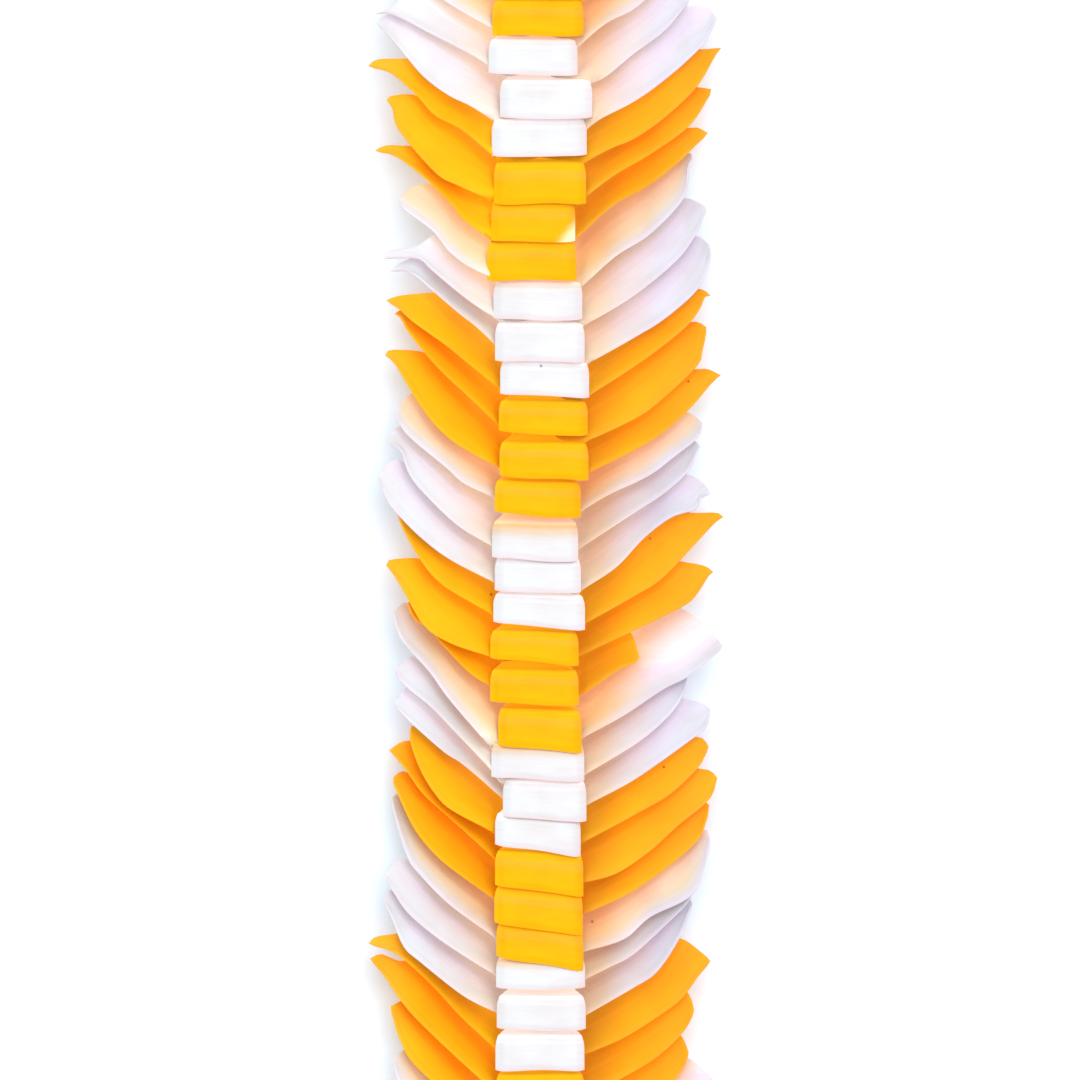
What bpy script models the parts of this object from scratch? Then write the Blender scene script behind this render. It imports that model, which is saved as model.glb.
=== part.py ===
"""Orchid lei: folded petals sewn side by side on a thread, laid flat as a closed loop.

Every petal is folded over the thread. Its middle makes a flat tab on the upper side, and its
two halves make pointed wings that lean forwards and out. Tabs and wings overlap like shingles.
Each run of three petals of one colour is a node. Millimetres below, metres in the meshes.
"""

import math
import random

import bmesh
import bpy
import numpy as np
from mathutils import Matrix, Vector

MM = 0.001

# Petals along the thread
PITCH = 5.6
PETALS_PER_RUN = 3
RUNS = 56
RUN_LENGTH = PITCH * PETALS_PER_RUN
LOOP_LENGTH = RUN_LENGTH * RUNS
COLOURS = ("orange", "white")

# The loop's two round ends, which tighten and ease over a ramp
BEND_RADIUS = 80.0
BEND_RAMP = 60.0
BEND_HALF = math.pi * BEND_RADIUS / 2 + BEND_RAMP / 2
ROUTE_STEP = 0.2

# The petals bunch and spread a little along the thread, in even waves
SPACING_WAVE = 1.6
SPACING_PERIOD = LOOP_LENGTH / 6
SPACING_START = 229.6

# Thread, the hole that it runs in, and its knot
THREAD_HEIGHT = 6.0
THREAD_DIAMETER = 1.0
HOLE_DIAMETER = 1.86
HOLE_SIDES = 8
KNOT_DIAMETER = 2.4
KNOT_ROOM = 1.8
KNOT_TURN = (0.3, 0.5, 0.2)
TAIL_ROUTE = ((0.0, 0.0, 6.0), (2.8, 0.5, 6.6), (5.6, 0.9, 7.2))

# Core: the gathered petal bases round the thread
CORE_TOP = 9.0
CORE_TOP_WIDTH = 9.0
CORE_FOOT_WIDTH = 6.0
RUN_GAP = 0.3

# Tab: stations from the root in the core, over the fold, to the free edge, (forward, up, width)
TAB_THICKNESS = 0.9
TAB_STATIONS = ((0.2, 8.0, 6.0), (-2.3, 11.1, 12.6), (-7.6, 12.6, 12.6))
TAB_LEAN = math.radians(28)

# Wing: the lower rim starts at the tab's corner and curves forwards to the tip. Pairs are
# for the loop's outer and inner side, where the wings differ.
RIM_START = 6.5
RIM_START_FORWARD = (0.1, -1.0)
RIM_SLOPE = (0.53, 0.38)
RIM_CURVE = (0.0226, 0.022)
RIM_HEIGHT = 10.8
RIM_DROP = 2.3
WING_SPAN = 18.0
WING_THICKNESS = 0.9
FALL_AT_TIP = 0.42
FALL_CURVE_AT_TIP = 0.015
FALL_MORE_AT_ROOT = 0.56
FALL_CURVE_MORE_AT_ROOT = 0.06
ROOT_CENTRE = (2.6, -0.1, 5.4)
ROOT_SHARE = 0.47
INNER_STATION = 7.5
INNER_WIDTH = 6.0
MIDDLE_STATION = 15.0
OUTER_SHARE = 0.52
OUTER_WIDTH = 8.6
TAB_TURN_SPREAD = 1.6
SEED = 28

# Petals of the straight stretch at -X, from this one on: the outer wing's reach, its tip's
# place forward and its rim's place forward at the middle station, the same for the inner
# wing, and the tab's shift inwards. Every other petal of the loop repeats one of them.
FIRST_SET_PETAL = 26
SET_PETALS = (
    (25.1, 16.6, 9.7, 25.0, 14.0, 4.5, 0.1),
    (23.0, 17.3, 6.4, 22.4, 16.7, 5.5, 0.0),
    (22.7, 15.6, 6.4, 22.7, 14.9, 5.2, 0.2),
    (21.8, 19.0, 7.6, 25.0, 14.8, 3.1, 0.1),
    (21.5, 18.9, 7.6, 24.7, 14.1, 3.5, -0.1),
    (22.1, 17.6, 9.4, 26.0, 13.6, 2.3, -0.3),
    (18.9, 15.8, 5.7, 24.7, 12.9, 3.7, 0.0),
    (21.2, 14.2, 7.8, 24.9, 12.3, 3.7, -0.3),
    (21.2, 13.9, 7.3, 21.6, 12.5, 3.6, 0.7),
    (21.5, 17.0, 6.5, 26.8, 11.9, 3.6, -0.4),
    (19.3, 12.8, 7.7, 14.6, 4.9, 5.6, 0.0),
    (22.5, 13.1, 3.0, 25.4, 12.1, 4.2, -0.9),
    (20.9, 15.4, 5.6, 26.9, 14.8, 4.0, -0.7),
    (23.7, 15.5, 4.6, 25.0, 12.7, 6.1, 0.0),
    (22.5, 14.8, 5.5, 23.5, 14.2, 5.3, -0.1),
    (21.1, 13.9, 6.6, 23.8, 12.0, 3.8, -0.6),
    (22.7, 16.2, 5.9, 26.5, 13.3, 3.1, -0.4),
    (21.3, 16.6, 8.9, 24.4, 14.6, 2.0, 0.7),
    (22.5, 12.7, 7.0, 25.0, 13.4, 3.8, 0.6),
    (21.9, 11.0, 7.7, 25.0, 14.4, 2.1, 0.7),
    (23.0, 6.9, 4.6, 24.4, 13.8, 2.6, 0.1),
    (20.6, 9.7, 4.2, 22.4, 15.8, 3.9, -0.3),
    (24.1, 10.8, 5.1, 24.6, 13.5, 5.3, -1.3),
    (22.5, 12.3, 1.4, 25.1, 14.0, 3.8, -0.9),
    (25.1, 11.3, 3.9, 26.6, 14.1, 1.6, 0.1),
    (24.1, 11.7, 2.4, 25.9, 12.6, 1.1, 0.0),
    (24.1, 7.1, 3.8, 21.9, 9.3, 2.4, 0.9),
    (22.8, 12.0, 4.5, 25.0, 13.0, 3.0, -1.0),
    (22.5, 13.0, 5.0, 25.0, 13.0, 3.5, 0.0),
)


def clear_scene():
    for obj in list(bpy.data.objects):
        bpy.data.objects.remove(obj)


def new_collection(name):
    collection = bpy.data.collections.new(name)
    bpy.context.scene.collection.children.link(collection)
    return collection


def new_object(name, mesh, collection):
    obj = bpy.data.objects.new(name, mesh)
    collection.objects.link(obj)
    return obj


def mesh_from(name, bm):
    """Turns a finished bmesh into a mesh, with its faces pointing out."""
    bmesh.ops.recalc_face_normals(bm, faces=bm.faces)
    mesh = bpy.data.meshes.new(name)
    bm.to_mesh(mesh)
    bm.free()
    return mesh


def petal_material(name, colour, roughness):
    material = bpy.data.materials.new(name)
    material.use_nodes = True
    shader = material.node_tree.nodes["Principled BSDF"]
    shader.inputs["Base Color"].default_value = (*colour, 1.0)
    shader.inputs["Roughness"].default_value = roughness
    shader.inputs["Metallic"].default_value = 0.0
    return material


def turn_rate(along):
    """How sharply the strand turns, in radians a millimetre, at a length along the loop."""
    half = LOOP_LENGTH / 2
    from_bend = np.abs((along + half / 2) % half - half / 2)
    eased = np.clip((BEND_HALF - from_bend) / BEND_RAMP, 0.0, 1.0)
    return eased / BEND_RADIUS


def walk_route():
    """The thread's route: places and headings at even steps, starting mid-bend at the near end."""
    steps = round(LOOP_LENGTH / ROUTE_STEP)
    along = np.linspace(0.0, LOOP_LENGTH, steps + 1)
    rate = turn_rate(along)
    step = along[1]
    turned = np.concatenate(([0.0], np.cumsum((rate[1:] + rate[:-1]) / 2) * step))
    heading = math.pi - turned
    east = np.cos(heading)
    north = np.sin(heading)
    x = np.concatenate(([0.0], np.cumsum((east[1:] + east[:-1]) / 2) * step))
    y = np.concatenate(([0.0], np.cumsum((north[1:] + north[:-1]) / 2) * step))
    x -= (x.max() + x.min()) / 2
    y -= (y.max() + y.min()) / 2
    return along, x, y, heading


def bend_along(route, points, start):
    """Moves points of a straight-laid piece (across, forward, up) onto the loop, from start on."""
    along, x, y, heading = route
    even = start + points[:, 1]
    wave = np.cos(2 * math.pi * (even - SPACING_START) / SPACING_PERIOD)
    at = (even - SPACING_WAVE * wave) % LOOP_LENGTH
    angle = np.interp(at, along, heading)
    placed = np.empty_like(points)
    placed[:, 0] = np.interp(at, along, x) + points[:, 0] * np.sin(angle)
    placed[:, 1] = np.interp(at, along, y) - points[:, 0] * np.cos(angle)
    placed[:, 2] = points[:, 2]
    return placed


def rim_line(side, out):
    """How far forward the lower rims lie on one side, at a distance out from the thread."""
    past = out - RIM_START
    start = RIM_START_FORWARD[side]
    return start + RIM_SLOPE[side] * past + RIM_CURVE[side] * past * past


def wing_height(side, out, forward):
    """Height of a wing's face. Every wing follows this one sheet, so neighbours never cross."""
    share = min(max((out - RIM_START) / WING_SPAN, -0.2), 1.1)
    depth = forward - rim_line(side, out)
    fall = FALL_AT_TIP + FALL_MORE_AT_ROOT * (1 - share) ** 2
    curve = FALL_CURVE_AT_TIP + FALL_CURVE_MORE_AT_ROOT * (1 - share) ** 2
    sink = fall * depth + curve * max(depth, 0.0) ** 2
    return RIM_HEIGHT - RIM_DROP * share * abs(share) - sink


def wing_section(side, out, near, far):
    """Four points round a wing: rim, upper face, back edge, under face, as (out, forward, up)."""
    middle = (near + far) / 2
    near_up = wing_height(side, out, near)
    far_up = wing_height(side, out, far)
    crown = wing_height(side, out, middle)
    half = WING_THICKNESS / 2 * math.hypot(1.0, (near_up - far_up) / (far - near))
    return [
        Vector((out, near, near_up)),
        Vector((out, middle, crown + half)),
        Vector((out, far, far_up)),
        Vector((out, middle, crown - half)),
    ]


def wing_mesh(side, reach, tip, middle):
    """A pointed wing, lofted from its root inside the core to its tip. Side 0 is the outer one."""
    outer = INNER_STATION + (reach - INNER_STATION) * OUTER_SHARE
    near_inner = rim_line(side, INNER_STATION)
    off_line = middle - rim_line(side, MIDDLE_STATION)
    near_outer = rim_line(side, outer) + off_line
    far_outer = rim_line(side, outer) + OUTER_WIDTH
    inner = wing_section(side, INNER_STATION, near_inner, near_inner + INNER_WIDTH)
    centre = sum(inner, Vector()) / len(inner)
    root = [Vector(ROOT_CENTRE) + (point - centre) * ROOT_SHARE for point in inner]
    sections = [root, inner, wing_section(side, outer, near_outer, far_outer)]
    mesh = loft("wing", sections, (reach, tip, wing_height(side, reach, tip)))
    if side == 0:
        mesh.transform(Matrix.Scale(-1, 4, (1.0, 0.0, 0.0)))
        mesh.flip_normals()
    return mesh


def loft(name, rings, point=None):
    """A closed solid through rings of four points, with an optional point to end in."""
    bm = bmesh.new()
    loops = [[bm.verts.new(place) for place in ring] for ring in rings]
    bm.faces.new(loops[0])
    for ring, following in zip(loops, loops[1:]):
        for i in range(4):
            bm.faces.new((ring[i - 1], ring[i], following[i], following[i - 1]))
    if point:
        end = bm.verts.new(point)
        for i in range(4):
            bm.faces.new((loops[-1][i - 1], loops[-1][i], end))
    else:
        bm.faces.new(loops[-1])
    return mesh_from(name, bm)


def tab_mesh(shift, turn):
    """The folded middle of a petal: a strap that widens from its root and folds forwards."""
    across = Vector((math.sin(TAB_LEAN), math.cos(TAB_LEAN))) * TAB_THICKNESS / 2
    rings = []
    for forward, up, width in TAB_STATIONS:
        upper = (forward + across.x, up + across.y)
        lower = (forward - across.x, up - across.y)
        half = width / 2
        rings.append([(-half, *upper), (half, *upper), (half, *lower), (-half, *lower)])
    mesh = loft("tab", rings)
    mesh.transform(Matrix.Translation((shift, 0.0, 0.0)) @ Matrix.Rotation(turn, 4, "Z"))
    return mesh


def core_mesh(start, end):
    """The petal bases of one run: a block round the thread that narrows to its flat foot."""
    bm = bmesh.new()
    bmesh.ops.create_cube(bm, size=1.0)
    for vert in bm.verts:
        width = CORE_TOP_WIDTH if vert.co.z > 0 else CORE_FOOT_WIDTH
        vert.co.x *= width
        vert.co.y = start if vert.co.y < 0 else end
        vert.co.z = CORE_TOP if vert.co.z > 0 else 0.0
    return mesh_from("core", bm)


def hole_mesh():
    """The needle hole along the thread, as a cutter longer than a run."""
    bm = bmesh.new()
    bmesh.ops.create_cone(
        bm,
        cap_ends=True,
        segments=HOLE_SIDES,
        radius1=HOLE_DIAMETER / 2,
        radius2=HOLE_DIAMETER / 2,
        depth=RUN_LENGTH * 2,
    )
    turn = Matrix.Rotation(math.pi / HOLE_SIDES, 4, "Z")
    lay_down = Matrix.Rotation(math.pi / 2, 4, "X")
    place = Matrix.Translation((0.0, 0.0, THREAD_HEIGHT))
    bmesh.ops.transform(bm, matrix=place @ lay_down @ turn, verts=bm.verts)
    return mesh_from("needle_hole", bm)


def boolean(obj, operation, operand=None, collection=None):
    """Applies one Boolean to obj, with an object or a whole collection."""
    modifier = obj.modifiers.new(operation.lower(), "BOOLEAN")
    modifier.operation = operation
    modifier.solver = "MANIFOLD"
    if collection:
        modifier.operand_type = "COLLECTION"
        modifier.collection = collection
    else:
        modifier.object = operand
    depsgraph = bpy.context.evaluated_depsgraph_get()
    mesh = bpy.data.meshes.new_from_object(obj.evaluated_get(depsgraph))
    obj.modifiers.clear()
    obj.data = mesh


def split_to_triangles(mesh):
    bm = bmesh.new()
    bm.from_mesh(mesh)
    bmesh.ops.triangulate(bm, faces=bm.faces)
    bm.to_mesh(mesh)
    bm.free()


def choose_petal(rng, number):
    """The set petal that a petal of the loop is: its own, or one of its colour drawn at random."""
    run = number // PETALS_PER_RUN
    alike = [
        place
        for place in range(len(SET_PETALS))
        if ((FIRST_SET_PETAL + place) // PETALS_PER_RUN - run) % len(COLOURS) == 0
    ]
    drawn = rng.choice(alike)
    own = number - FIRST_SET_PETAL
    return SET_PETALS[own if 0 <= own < len(SET_PETALS) else drawn]


def build_run(index, rng, route, hole, parts, material):
    """Three petals and their core as one body, fused while straight and then bent along the loop."""
    middle = RUN_LENGTH / 2
    ease = RUN_GAP / 2
    start = KNOT_ROOM if index == 0 else ease
    end = RUN_LENGTH - (KNOT_ROOM if index == RUNS - 1 else ease)
    colour = COLOURS[index % 2]
    name = f"petals_{colour}_{index // 2 + 1:02d}"
    run = new_object(name, core_mesh(start, end), parts)
    pieces = new_collection("pieces")
    for number in range(PETALS_PER_RUN):
        origin = middle + (number - 1) * PITCH
        petal = choose_petal(rng, index * PETALS_PER_RUN + number)
        turn = math.radians(rng.uniform(-TAB_TURN_SPREAD, TAB_TURN_SPREAD))
        shapes = [wing_mesh(0, *petal[:3]), wing_mesh(1, *petal[3:6]), tab_mesh(petal[6], turn)]
        for shape in shapes:
            piece = new_object("piece", shape, pieces)
            piece.location.y = origin
    boolean(run, "UNION", collection=pieces)
    boolean(run, "DIFFERENCE", operand=hole)
    for piece in list(pieces.objects):
        bpy.data.objects.remove(piece)
    bpy.data.collections.remove(pieces)
    split_to_triangles(run.data)
    straight = np.array([v.co for v in run.data.vertices])
    bent = bend_along(route, straight, index * RUN_LENGTH) * MM
    run.data.vertices.foreach_set("co", bent.ravel())
    run.data.materials.clear()
    run.data.materials.append(material)
    run.data.update()
    return run


def tube(name, points, radius, collection, closed=False):
    """A round thread through points, as a mesh with its caps welded."""
    curve = bpy.data.curves.new(name, "CURVE")
    curve.dimensions = "3D"
    curve.bevel_depth = radius
    curve.bevel_resolution = 1
    curve.use_fill_caps = not closed
    spline = curve.splines.new("POLY")
    spline.points.add(len(points) - 1)
    for point, place in zip(spline.points, points):
        point.co = (*place, 1.0)
    spline.use_cyclic_u = closed
    guide = new_object(name, curve, collection)
    depsgraph = bpy.context.evaluated_depsgraph_get()
    mesh = bpy.data.meshes.new_from_object(guide.evaluated_get(depsgraph))
    bpy.data.objects.remove(guide)
    bm = bmesh.new()
    bm.from_mesh(mesh)
    bmesh.ops.remove_doubles(bm, verts=bm.verts, dist=0.001)
    bpy.data.meshes.remove(mesh)
    return new_object(name, mesh_from(name, bm), collection)


def build_thread(route, parts, cutters, material):
    """The thread through all runs, closed by a knot whose two tails lie between the petals."""
    corners = np.array([(0.0, i * RUN_LENGTH, THREAD_HEIGHT) for i in range(RUNS)])
    thread = tube("thread", bend_along(route, corners, 0.0), THREAD_DIAMETER / 2, parts, True)
    bm = bmesh.new()
    bmesh.ops.create_icosphere(bm, subdivisions=2, radius=KNOT_DIAMETER / 2)
    knot = new_object("knot", mesh_from("knot", bm), cutters)
    knot.location = Vector(bend_along(route, corners[:1], 0.0)[0])
    knot.rotation_euler = KNOT_TURN
    boolean(thread, "UNION", operand=knot)
    for side in (-1, 1):
        tail = np.array([(side * x, y, z) for x, y, z in TAIL_ROUTE])
        route_points = bend_along(route, tail, 0.0)
        end = tube("tail", route_points, THREAD_DIAMETER / 2, cutters)
        boolean(thread, "UNION", operand=end)
        bpy.data.objects.remove(end)
    bpy.data.objects.remove(knot)
    thread.data.transform(Matrix.Scale(MM, 4))
    thread.data.materials.clear()
    thread.data.materials.append(material)
    thread.data.shade_smooth()


def main():
    clear_scene()
    parts = new_collection("orchid_lei")
    cutters = new_collection("cutters")
    petals = {
        "orange": petal_material("orange_petal", (0.96, 0.52, 0.02), 0.42),
        "white": petal_material("white_petal", (0.90, 0.86, 0.88), 0.45),
    }
    cotton = petal_material("cotton_thread", (0.86, 0.84, 0.78), 0.85)
    route = walk_route()
    hole = new_object("needle_hole", hole_mesh(), cutters)
    hole.hide_render = True
    hole.display_type = "WIRE"
    rng = random.Random(SEED)
    for index in range(RUNS):
        colour = COLOURS[index % 2]
        build_run(index, rng, route, hole, parts, petals[colour])
    build_thread(route, parts, cutters, cotton)


main()
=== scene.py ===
"""Looks of the orchid lei: every petal as one thin folded sheet, with its tab and two wings.

The petals lie where the solids have them. Lengths are in millimetres, in the frame of a
straight strand: out from the thread, forward along it and up. They are bent along the loop
and turned to metres last. One surface falls forwards under all petals, and each petal is cut
from its own copy of it, a pitch further on, so neighbours lie over each other and never cross.
"""

import math
import random

import bpy
import numpy as np
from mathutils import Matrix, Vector


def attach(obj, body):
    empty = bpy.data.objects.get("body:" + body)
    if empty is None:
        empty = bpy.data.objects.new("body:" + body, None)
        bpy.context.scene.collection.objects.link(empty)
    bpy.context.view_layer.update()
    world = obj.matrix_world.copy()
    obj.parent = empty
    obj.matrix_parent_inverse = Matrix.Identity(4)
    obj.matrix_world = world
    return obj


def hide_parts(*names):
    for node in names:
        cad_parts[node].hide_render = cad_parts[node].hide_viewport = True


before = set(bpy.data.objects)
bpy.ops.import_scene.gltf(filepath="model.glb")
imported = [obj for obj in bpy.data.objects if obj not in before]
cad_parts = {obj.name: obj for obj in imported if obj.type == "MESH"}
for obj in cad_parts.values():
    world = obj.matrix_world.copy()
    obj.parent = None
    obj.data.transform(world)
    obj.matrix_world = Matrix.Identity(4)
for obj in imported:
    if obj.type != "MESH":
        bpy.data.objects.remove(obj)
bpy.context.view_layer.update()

MM = 0.001

# The strand and its loop, as in the solids
PITCH = 5.6
PETALS_PER_RUN = 3
RUNS = 56
RUN_LENGTH = PITCH * PETALS_PER_RUN
LOOP_LENGTH = RUN_LENGTH * RUNS
COLOURS = ("orange", "white")
BEND_RADIUS = 80.0
BEND_RAMP = 60.0
BEND_HALF = math.pi * BEND_RADIUS / 2 + BEND_RAMP / 2
ROUTE_STEP = 0.2
SPACING_WAVE = 1.6
SPACING_PERIOD = LOOP_LENGTH / 6
SPACING_START = 229.6
THREAD_HEIGHT = 6.0
SEED = 28
CURVE_STEPS = 12

# The surface that wings are cut from, as in the solids. Pairs are for the loop's outer and
# inner side.
RIM_START = 6.5
RIM_START_FORWARD = (0.1, -1.0)
RIM_SLOPE = (0.53, 0.38)
RIM_CURVE = (0.0226, 0.022)
RIM_HEIGHT = 10.8
RIM_DROP = 2.3
WING_SPAN = 18.0
SPAN_LIMIT = 1.1
FALL_AT_TIP = 0.42
FALL_CURVE_AT_TIP = 0.015
FALL_MORE_AT_ROOT = 0.56
FALL_CURVE_MORE_AT_ROOT = 0.06

# A petal as a sheet: its thickness, and the fold at its base, which dips to the surface below
PETAL_THICKNESS = 0.42
EDGE_THICKNESS = 0.16
SHARP_ANGLE = 50
FLOOR_GAP = 0.02
BASE_DIP = 2.6
BASE_DIP_POWER = 0.4
BASE_WIDTH = 6.1
BASE_AHEAD = 0.4

# A wing's root, which starts under the tab and is pressed down there, and rises beside and
# behind the tab
ROOT_UNDER_TAB = 5.0
UNDER_TAB_GAP = 0.9
UNDER_TAB_EDGE = 0.1
RISE_BESIDE = 1.2
RISE_BEHIND = 2.0
PRESS_ROUNDING = 1.0

# A wing's back edge, which reaches under the next wing
WING_ROOT_WIDTH = 6.4
WING_WIDTH = 9.0
WIDENING = 8.0
BACK_START = 1.0
BACK_END = 2.0
BACK_STEP = 2.5
BACK_SLOPE = 0.12
COVER = 0.9
COVER_END = 3.0

# A wing's relief: its rim curls up, and a ripple runs through it
RIM_CURL = 0.2
RIM_CURL_WIDTH = 1.1
CURL_START = 1.5
CURL_GROWTH = 4
RIPPLE = 0.12
RIPPLE_GROWTH = 6
RIPPLE_ACROSS = 0.5
RIPPLE_INWARDS = 0.7
RIPPLE_SPREAD = 0.25
STEPS_ALONG = 67
STEPS_ACROSS = 13
RIM_CROWDING = 1.4

# Tab: its profile from under the previous tab to the free edge, as (forward, up), and how many
# of its last points lie on its flat top
TAB_PROFILE = (
    (0.4, 8.5), (-1.2, 8.9), (-2.1, 9.7), (-2.4, 10.7), (-2.6, 11.5), (-3.1, 11.85), (-4.4, 12.15),
    (-5.8, 12.45), (-7.1, 12.62), (-7.6, 12.5),
)
TAB_TOP_POINTS = 6
TAB_END = TAB_PROFILE[-1][0]
TAB_TURN_SPREAD = 0.48
TAB_ROLL = 0.04
TAB_ROLL_SPREAD = (0.5, 1.5)
TAB_FOLD = -2.5
TAB_NECK = 0.22
TAB_NECK_LENGTH = 1.2
TAB_SHOULDER = 0.06
TAB_SHOULDER_LENGTH = 1.8
TAB_WOBBLE = 0.12
TAB_WOBBLE_RATE = (1.5, 4.0)
TAB_WOBBLE_START = (0.0, 6.0)
TAB_CORNER = 0.2
TAB_CORNER_SHARE = 0.2
TAB_CROWN = 0.3
TAB_SIDE_CURL = 0.5
TAB_CURL_SHARE = 0.125
TAB_STEPS_ACROSS = 15
TAB_STEPS_ALONG = 20
TAB_CROWDING = 0.8

# Thread, with its overhand knot and two tails
THREAD_RADIUS = 0.5
THREAD_SIDES = 12
THREAD_STEP = 0.7
THREAD_PLIES = 3
PLY_DEPTH = 0.1
THREAD_TWIST = 6.0
KNOT_SIZE = 0.26
KNOT_HEIGHT = 0.42
KNOT_STEPS = 90
TAIL_ROUTE = ((0.0, 0.0, 6.0), (2.8, 0.5, 6.6), (5.6, 0.9, 7.2))
TAIL_STEPS = 14
NEARLY_UPRIGHT = 0.05

# A petal's own coordinates, as these lengths for a unit: across the strand on wings, where a tab
# has its own width for a unit, and in from the rim or the free edge. Inwards they stretch with
# how much of a wing the next petal leaves open, within these limits.
ACROSS_UNIT = 60
INWARDS_UNIT = 12
EXPOSED_RANGE = (4.8, 14.0)

# Looks of petals, thread and floor. Colours are linear red, green and blue. Along a petal they are
# given at these places, from its outer tip to its inner one. There they hold the petal's colour and
# painted shade: darker on the inner side and near the thread, and warmer near the thread on white
# petals. A relief has its strength and its depth in metres.
WING_PLACES = (0.12, 0.2, 0.28, 0.37, 0.5, 0.63, 0.72, 0.8, 0.88)
WHITE = (1.0, 1.0, 1.0)
BLACK = (0.0, 0.0, 0.0)
PETAL_GLOSS = 0.25
PETAL_ROUGHNESS = 0.4
MOTTLE_SCALE = 170.0
MOTTLE_DETAIL = 3.0
MOTTLE = ((0.35, (0.97, 0.94, 0.92)), (0.6, WHITE))
VEIN_TINT = ((0.35, (0.98, 0.96, 0.95)), (0.6, WHITE))
WING_VEINS = (6.0, 26.0, 1.0)
TAB_VEINS = (3.0, 26.0, 1.0)
VEIN_DETAIL = 2.0
CELL_SCALE = 2600.0
CELL_DETAIL = 2.0
CELL_SHARE = 0.3
PETAL_RELIEF = (0.2, 0.00012)
FIBRE_SCALE = 3000.0
FIBRE_DETAIL = 4.0
FIBRE_RELIEF = (0.6, 0.0001)
FIBRE_COLOURS = ((0.3, (0.67, 0.62, 0.51)), (0.7, (0.87, 0.84, 0.75)))
FIBRE_ROUGHNESS = 0.9
FLOOR_COLOUR = (0.725, 0.815, 0.9)
FLOOR_ROUGHNESS = 0.9
FLOOR_GLOSS = 0.1

# Painted glow: petals give off light, as emission, where they are covered. It stands in for light that
# soaks through thin petals, and it lifts their shade. How much of it at which place in from the rim,
# and at each of the places along
PAINTED_GLOW_DEPTH = ((0.1, 0.0), (0.22, 0.18), (0.3, 0.48), (0.4, 0.92), (0.56, 1.45))
PAINTED_GLOW_REACH = (0.0, 0.75, 0.8, 1.0, 0.8, 0.6, 0.75, 0.65, 0.35)

# Painted bounce: orange light that white petals catch where an orange one covers them, painted into
# their colour. On wings it ends a little past the covering wing's tip. On tabs its share is given by
# petal number, or drawn, and a larger share reaches nearer to the free edge.
BOUNCE_PAST_TIP = 1.5
BOUNCE_FADE = 5
BOUNCE_START = 0.3
BOUNCE_GROWTH = 1.8
TAB_BOUNCES = {29: 0.8, 35: 0.9, 41: 1.0, 47: 0.3, 53: 0.1}
OTHER_TAB_BOUNCES = (0.2, 0.8)
TAB_BOUNCE_RATE = 6
TAB_BOUNCE_START = 2.3
TAB_BOUNCE_MORE = 0.9
TAB_BOUNCE_GAIN = 4

# The one orange tab with an undyed corner: its petal's number, and how far the corner reaches
# across the tab and in from its free edge, in the petal's own coordinates
UNDYED_PETAL = 49
UNDYED_ACROSS = 0.24
UNDYED_INWARDS = 0.27
UNDYED_SHARPNESS = 1.6

# Dark specks on some petals, at (x, y): their radius, how much of it is darkest, and how dark
SPECKS = (
    (-81.7, 15.9),
    (-65.7, -9.3),
    (-89.0, -17.5),
    (-63.7, -42.8),
    (-74.2, -65.5),
    (-60.1, 13.7),
)
SPECK_SIZE = 0.3
SPECK_CORE = 0.3
SPECK_LEVEL = 0.35

# View and light, in metres
VIEW_CENTRE = (-0.08185, -0.00953)
VIEW_PLANE = 0.011
VIEW_WIDTH = 0.1579
VIEW_DISTANCE = 1.4
VIEW_END = 20.0
ROOM_LIGHT = 1.1
KEY_PLACE = (0.1, 0.35, 1.3)
KEY_POWER = 11.2
KEY_SIZE = 0.9
SENSOR_WIDTH = 36.0
FLOOR_HALF = 4.0

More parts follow.
